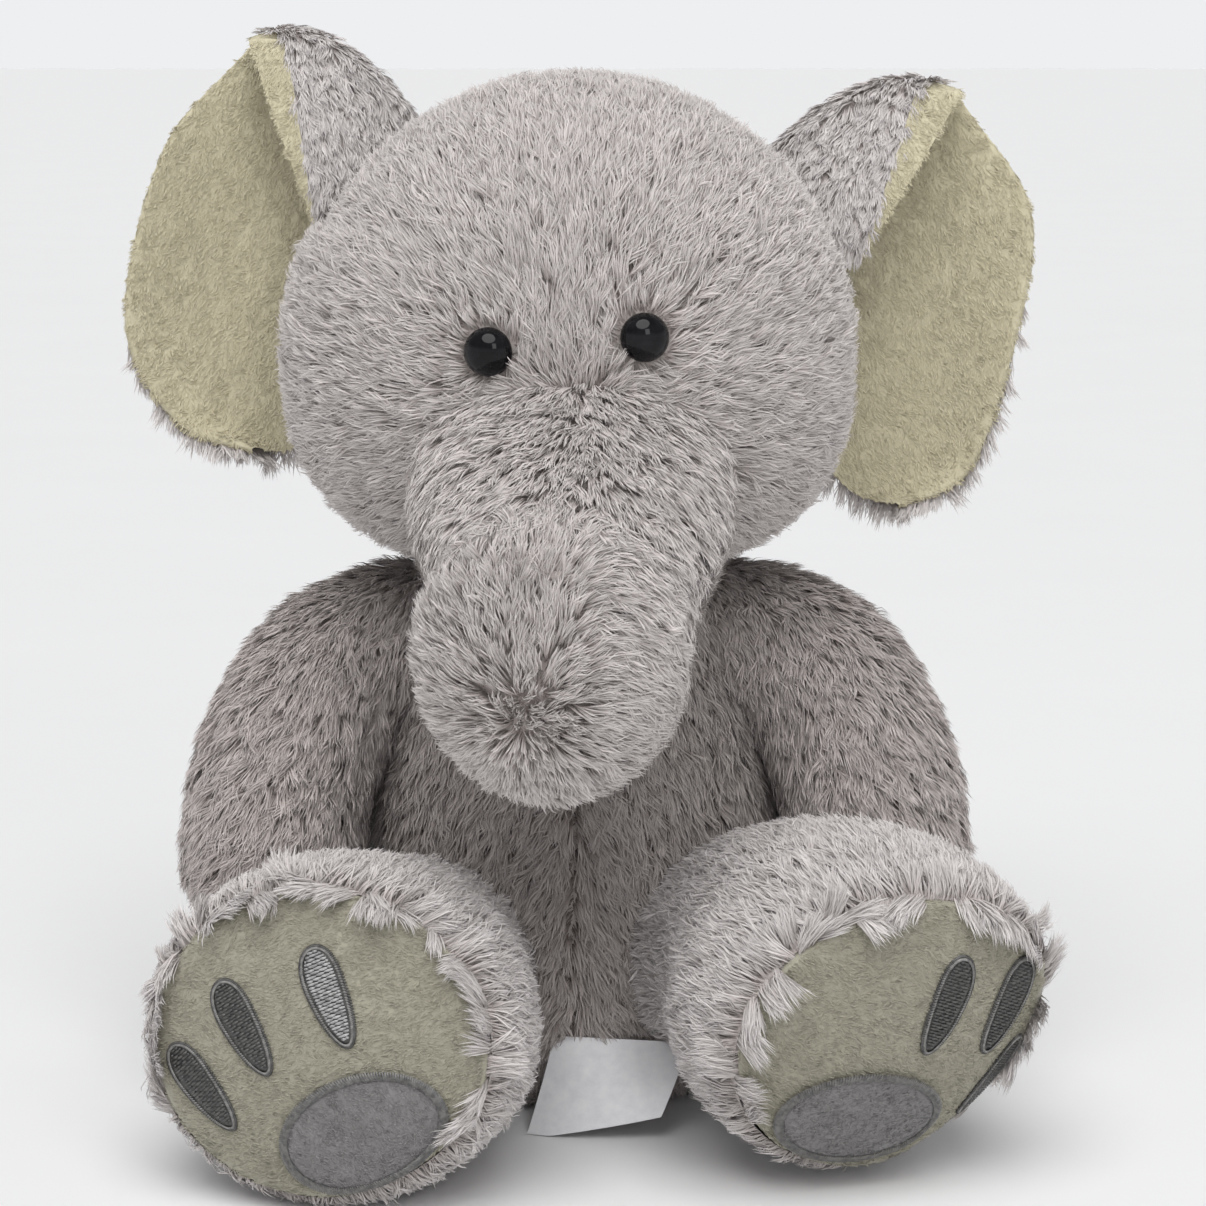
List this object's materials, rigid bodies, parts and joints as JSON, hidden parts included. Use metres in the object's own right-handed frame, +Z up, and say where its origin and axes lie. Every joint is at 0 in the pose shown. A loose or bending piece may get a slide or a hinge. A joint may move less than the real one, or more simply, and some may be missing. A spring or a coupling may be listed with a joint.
{
  "type": "stuffed elephant toy",
  "caption": "Seated plush elephant with a stuffed body, folded ears, a short trunk, soft limbs that swing at their seams, and embroidered soles.",
  "frame": {"origin": "centre of the bounding box's base, on the surface the toy sits on", "axes": "+Z up; the toy faces -Y; +X is the side of the right ear in the front view"},
  "size_m": [0.2278, 0.1904, 0.27],
  "materials": {
    "grey_plush": "long soft pile, about 9 mm, taupe grey with brown-grey roots",
    "fibre_filling": "loose white polyester fibre",
    "cream_lining": "short dense velboa pile",
    "cream_sole": "short dense velboa pile",
    "grey_pad": "short pile applique",
    "border_thread": "satin stitch, slightly glossy thread",
    "toe_thread": "filled embroidery, slightly glossy thread",
    "washer_plastic": "moulded, satin",
    "eye_plastic": "polished black",
    "label_satin": "woven satin ribbon"
  },
  "bodies": {
    "torso": {"torso_skin_left": "grey_plush", "torso_skin_right": "grey_plush", "torso_stuffing": "fibre_filling", "care_label": "label_satin"},
    "head": {"head_skin_left": "grey_plush", "head_skin_right": "grey_plush", "head_stuffing": "fibre_filling", "eye_left": "eye_plastic", "eye_right": "eye_plastic", "eye_washer_left": "washer_plastic", "eye_washer_right": "washer_plastic"},
    "trunk": {"trunk_skin": "grey_plush", "trunk_stuffing": "fibre_filling"},
    "ear_left": {"ear_outer_left": "grey_plush", "ear_lining_left": "cream_lining"},
    "ear_right": {"ear_outer_right": "grey_plush", "ear_lining_right": "cream_lining"},
    "arm_left": {"arm_skin_left": "grey_plush", "arm_stuffing_left": "fibre_filling"},
    "arm_right": {"arm_skin_right": "grey_plush", "arm_stuffing_right": "fibre_filling"},
    "tail": {"tail": "grey_plush"},
    "leg_left": {"leg_skin_left": "grey_plush", "leg_stuffing_left": "fibre_filling", "sole_left": "cream_sole", "heel_pad_left": "grey_pad", "heel_border_left": "border_thread", "toe_inner_left": "toe_thread", "toe_middle_left": "toe_thread", "toe_outer_left": "toe_thread"},
    "leg_right": {"leg_skin_right": "grey_plush", "leg_stuffing_right": "fibre_filling", "sole_right": "cream_sole", "heel_pad_right": "grey_pad", "heel_border_right": "border_thread", "toe_inner_right": "toe_thread", "toe_middle_right": "toe_thread", "toe_outer_right": "toe_thread"}
  },
  "joints": [
    {"name": "neck_nod", "type": "hinge", "parent": "torso", "child": "head", "pos_m": [-0.00004, 0.02372, 0.118], "axis": [1, 0, 0], "range_deg": [-8, 8]},
    {"name": "trunk_lift", "type": "hinge", "parent": "head", "child": "trunk", "pos_m": [-0.00004, -0.04428, 0.167], "axis": [-1, 0, 0], "range_deg": [-6, 16]},
    {"name": "ear_left_flap", "type": "hinge", "parent": "head", "child": "ear_left", "pos_m": [-0.07204, 0.02972, 0.172], "axis": [0.1527, 0.1273, 0.98], "range_deg": [-10, 20]},
    {"name": "ear_right_flap", "type": "hinge", "parent": "head", "child": "ear_right", "pos_m": [0.07096, 0.02972, 0.163], "axis": [0.1123, -0.1248, -0.9858], "range_deg": [-10, 20]},
    {"name": "arm_left_raise", "type": "hinge", "parent": "torso", "child": "arm_left", "pos_m": [-0.04604, 0.02222, 0.116], "axis": [-1, 0, 0], "range_deg": [-5, 60]},
    {"name": "arm_right_raise", "type": "hinge", "parent": "torso", "child": "arm_right", "pos_m": [0.04696, 0.02222, 0.116], "axis": [-1, 0, 0], "range_deg": [-5, 60]},
    {"name": "leg_left_lift", "type": "hinge", "parent": "torso", "child": "leg_left", "pos_m": [-0.03904, -0.01728, 0.037], "axis": [-1, 0, 0], "range_deg": [0, 12]},
    {"name": "leg_right_lift", "type": "hinge", "parent": "torso", "child": "leg_right", "pos_m": [0.03996, -0.01628, 0.0365], "axis": [-1, 0, 0], "range_deg": [0, 12]},
    {"name": "tail_swing", "type": "hinge", "parent": "torso", "child": "tail", "pos_m": [-0.00004, 0.08122, 0.047], "axis": [1, 0, 0], "range_deg": [0, 30]}
  ]
}
